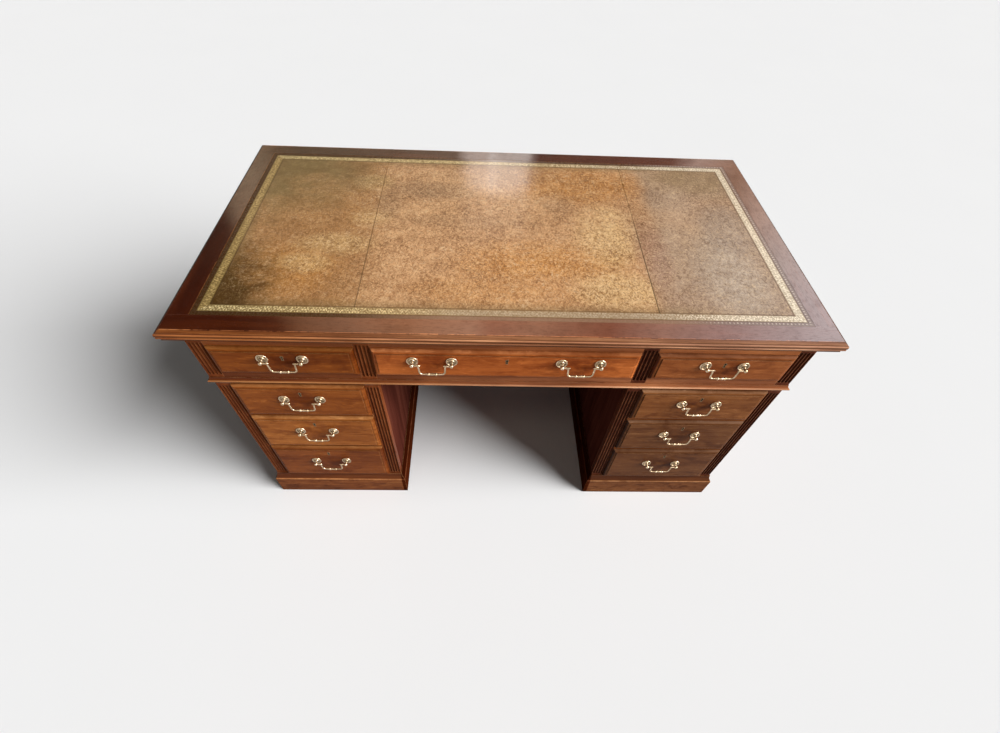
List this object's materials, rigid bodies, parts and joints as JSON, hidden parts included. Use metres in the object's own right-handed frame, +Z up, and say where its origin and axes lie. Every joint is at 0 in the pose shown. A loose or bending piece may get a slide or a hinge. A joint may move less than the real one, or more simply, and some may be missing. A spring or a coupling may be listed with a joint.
{
  "type": "pedestal desk",
  "caption": "Mahogany pedestal desk with a tooled leather writing top, frieze and pedestal drawers with swinging bail handles, fluted pilasters, moulded plinths and an open kneehole.",
  "frame": {"origin": "on the floor, under the middle of the top", "axes": "+X to the right along the desk's width, +Y to the back, +Z up; the drawers face -Y"},
  "size_m": [1.524, 0.842, 0.773],
  "materials": {
    "top_mahogany": "polished",
    "case_mahogany": "polished",
    "front_mahogany": "polished",
    "moulding_mahogany": "polished",
    "oak": "plain",
    "leather": "aged, gold tooled",
    "brass": "polished",
    "lock_steel": "dull"
  },
  "bodies": {
    "desk": {"top_frame": "top_mahogany", "top_panel": "oak", "leather_hides": "leather", "frieze_case": "case_mahogany", "frieze_runners": "oak", "frieze_base_moulding": "moulding_mahogany", "pilasters": "moulding_mahogany", "locating_dowels": "oak", "left_pedestal_case": "case_mahogany", "left_pedestal_runners": "case_mahogany", "left_plinth": "moulding_mahogany", "right_pedestal_case": "case_mahogany", "right_pedestal_runners": "case_mahogany", "right_plinth": "moulding_mahogany"},
    "centre_frieze_drawer": {"centre_frieze_drawer_front": "front_mahogany", "centre_frieze_drawer_box": "oak", "centre_frieze_drawer_fittings": "brass"},
    "centre_frieze_drawer_lock_bolt": {"centre_frieze_drawer_lock_bolt": "lock_steel"},
    "centre_frieze_drawer_left_bail": {"centre_frieze_drawer_left_bail": "brass"},
    "centre_frieze_drawer_right_bail": {"centre_frieze_drawer_right_bail": "brass"},
    "left_frieze_drawer": {"left_frieze_drawer_front": "front_mahogany", "left_frieze_drawer_box": "oak", "left_frieze_drawer_fittings": "brass"},
    "left_frieze_drawer_lock_bolt": {"left_frieze_drawer_lock_bolt": "lock_steel"},
    "left_frieze_drawer_bail": {"left_frieze_drawer_bail": "brass"},
    "left_upper_drawer": {"left_upper_drawer_front": "front_mahogany", "left_upper_drawer_box": "oak", "left_upper_drawer_fittings": "brass"},
    "left_upper_drawer_lock_bolt": {"left_upper_drawer_lock_bolt": "lock_steel"},
    "left_upper_drawer_bail": {"left_upper_drawer_bail": "brass"},
    "left_middle_drawer": {"left_middle_drawer_front": "front_mahogany", "left_middle_drawer_box": "oak", "left_middle_drawer_fittings": "brass"},
    "left_middle_drawer_lock_bolt": {"left_middle_drawer_lock_bolt": "lock_steel"},
    "left_middle_drawer_bail": {"left_middle_drawer_bail": "brass"},
    "left_lower_drawer": {"left_lower_drawer_front": "front_mahogany", "left_lower_drawer_box": "oak", "left_lower_drawer_fittings": "brass"},
    "left_lower_drawer_lock_bolt": {"left_lower_drawer_lock_bolt": "lock_steel"},
    "left_lower_drawer_bail": {"left_lower_drawer_bail": "brass"},
    "right_frieze_drawer": {"right_frieze_drawer_front": "front_mahogany", "right_frieze_drawer_box": "oak", "right_frieze_drawer_fittings": "brass"},
    "right_frieze_drawer_lock_bolt": {"right_frieze_drawer_lock_bolt": "lock_steel"},
    "right_frieze_drawer_bail": {"right_frieze_drawer_bail": "brass"},
    "right_upper_drawer": {"right_upper_drawer_front": "front_mahogany", "right_upper_drawer_box": "oak", "right_upper_drawer_fittings": "brass"},
    "right_upper_drawer_lock_bolt": {"right_upper_drawer_lock_bolt": "lock_steel"},
    "right_upper_drawer_bail": {"right_upper_drawer_bail": "brass"},
    "right_middle_drawer": {"right_middle_drawer_front": "front_mahogany", "right_middle_drawer_box": "oak", "right_middle_drawer_fittings": "brass"},
    "right_middle_drawer_lock_bolt": {"right_middle_drawer_lock_bolt": "lock_steel"},
    "right_middle_drawer_bail": {"right_middle_drawer_bail": "brass"},
    "right_lower_drawer": {"right_lower_drawer_front": "front_mahogany", "right_lower_drawer_box": "oak", "right_lower_drawer_fittings": "brass"},
    "right_lower_drawer_lock_bolt": {"right_lower_drawer_lock_bolt": "lock_steel"},
    "right_lower_drawer_bail": {"right_lower_drawer_bail": "brass"}
  },
  "joints": [
    {"name": "centre_frieze_drawer_slide", "type": "slide", "parent": "desk", "child": "centre_frieze_drawer", "axis": [0, -1, 0], "range_m": [0, 0.45]},
    {"name": "centre_frieze_drawer_lock_bolt_throw", "type": "slide", "parent": "centre_frieze_drawer", "child": "centre_frieze_drawer_lock_bolt", "axis": [0, 0, 1], "range_m": [0, 0.007]},
    {"name": "centre_frieze_drawer_left_bail_swing", "type": "hinge", "parent": "centre_frieze_drawer", "child": "centre_frieze_drawer_left_bail", "pos_m": [-0.177, -0.414, 0.674], "axis": [-1, 0, 0], "range_deg": [-18, 190]},
    {"name": "centre_frieze_drawer_right_bail_swing", "type": "hinge", "parent": "centre_frieze_drawer", "child": "centre_frieze_drawer_right_bail", "pos_m": [0.177, -0.414, 0.674], "axis": [-1, 0, 0], "range_deg": [-18, 190]},
    {"name": "left_frieze_drawer_slide", "type": "slide", "parent": "desk", "child": "left_frieze_drawer", "axis": [0, -1, 0], "range_m": [0, 0.45]},
    {"name": "left_frieze_drawer_lock_bolt_throw", "type": "slide", "parent": "left_frieze_drawer", "child": "left_frieze_drawer_lock_bolt", "axis": [0, 0, 1], "range_m": [0, 0.007]},
    {"name": "left_frieze_drawer_bail_swing", "type": "hinge", "parent": "left_frieze_drawer", "child": "left_frieze_drawer_bail", "pos_m": [-0.52475, -0.414, 0.674], "axis": [-1, 0, 0], "range_deg": [-18, 190]},
    {"name": "left_upper_drawer_slide", "type": "slide", "parent": "desk", "child": "left_upper_drawer", "axis": [0, -1, 0], "range_m": [0, 0.45]},
    {"name": "left_upper_drawer_lock_bolt_throw", "type": "slide", "parent": "left_upper_drawer", "child": "left_upper_drawer_lock_bolt", "axis": [0, 0, 1], "range_m": [0, 0.007]},
    {"name": "left_upper_drawer_bail_swing", "type": "hinge", "parent": "left_upper_drawer", "child": "left_upper_drawer_bail", "pos_m": [-0.52475, -0.412, 0.51783], "axis": [-1, 0, 0], "range_deg": [-18, 190]},
    {"name": "left_middle_drawer_slide", "type": "slide", "parent": "desk", "child": "left_middle_drawer", "axis": [0, -1, 0], "range_m": [0, 0.45]},
    {"name": "left_middle_drawer_lock_bolt_throw", "type": "slide", "parent": "left_middle_drawer", "child": "left_middle_drawer_lock_bolt", "axis": [0, 0, 1], "range_m": [0, 0.007]},
    {"name": "left_middle_drawer_bail_swing", "type": "hinge", "parent": "left_middle_drawer", "child": "left_middle_drawer_bail", "pos_m": [-0.52475, -0.412, 0.3705], "axis": [-1, 0, 0], "range_deg": [-18, 190]},
    {"name": "left_lower_drawer_slide", "type": "slide", "parent": "desk", "child": "left_lower_drawer", "axis": [0, -1, 0], "range_m": [0, 0.45]},
    {"name": "left_lower_drawer_lock_bolt_throw", "type": "slide", "parent": "left_lower_drawer", "child": "left_lower_drawer_lock_bolt", "axis": [0, 0, 1], "range_m": [0, 0.007]},
    {"name": "left_lower_drawer_bail_swing", "type": "hinge", "parent": "left_lower_drawer", "child": "left_lower_drawer_bail", "pos_m": [-0.52475, -0.412, 0.20317], "axis": [-1, 0, 0], "range_deg": [-18, 190]},
    {"name": "right_frieze_drawer_slide", "type": "slide", "parent": "desk", "child": "right_frieze_drawer", "axis": [0, -1, 0], "range_m": [0, 0.45]},
    {"name": "right_frieze_drawer_lock_bolt_throw", "type": "slide", "parent": "right_frieze_drawer", "child": "right_frieze_drawer_lock_bolt", "axis": [0, 0, 1], "range_m": [0, 0.007]},
    {"name": "right_frieze_drawer_bail_swing", "type": "hinge", "parent": "right_frieze_drawer", "child": "right_frieze_drawer_bail", "pos_m": [0.52475, -0.414, 0.674], "axis": [-1, 0, 0], "range_deg": [-18, 190]},
    {"name": "right_upper_drawer_slide", "type": "slide", "parent": "desk", "child": "right_upper_drawer", "axis": [0, -1, 0], "range_m": [0, 0.45]},
    {"name": "right_upper_drawer_lock_bolt_throw", "type": "slide", "parent": "right_upper_drawer", "child": "right_upper_drawer_lock_bolt", "axis": [0, 0, 1], "range_m": [0, 0.007]},
    {"name": "right_upper_drawer_bail_swing", "type": "hinge", "parent": "right_upper_drawer", "child": "right_upper_drawer_bail", "pos_m": [0.52475, -0.412, 0.51783], "axis": [-1, 0, 0], "range_deg": [-18, 190]},
    {"name": "right_middle_drawer_slide", "type": "slide", "parent": "desk", "child": "right_middle_drawer", "axis": [0, -1, 0], "range_m": [0, 0.45]},
    {"name": "right_middle_drawer_lock_bolt_throw", "type": "slide", "parent": "right_middle_drawer", "child": "right_middle_drawer_lock_bolt", "axis": [0, 0, 1], "range_m": [0, 0.007]},
    {"name": "right_middle_drawer_bail_swing", "type": "hinge", "parent": "right_middle_drawer", "child": "right_middle_drawer_bail", "pos_m": [0.52475, -0.412, 0.3705], "axis": [-1, 0, 0], "range_deg": [-18, 190]},
    {"name": "right_lower_drawer_slide", "type": "slide", "parent": "desk", "child": "right_lower_drawer", "axis": [0, -1, 0], "range_m": [0, 0.45]},
    {"name": "right_lower_drawer_lock_bolt_throw", "type": "slide", "parent": "right_lower_drawer", "child": "right_lower_drawer_lock_bolt", "axis": [0, 0, 1], "range_m": [0, 0.007]},
    {"name": "right_lower_drawer_bail_swing", "type": "hinge", "parent": "right_lower_drawer", "child": "right_lower_drawer_bail", "pos_m": [0.52475, -0.412, 0.20317], "axis": [-1, 0, 0], "range_deg": [-18, 190]}
  ]
}
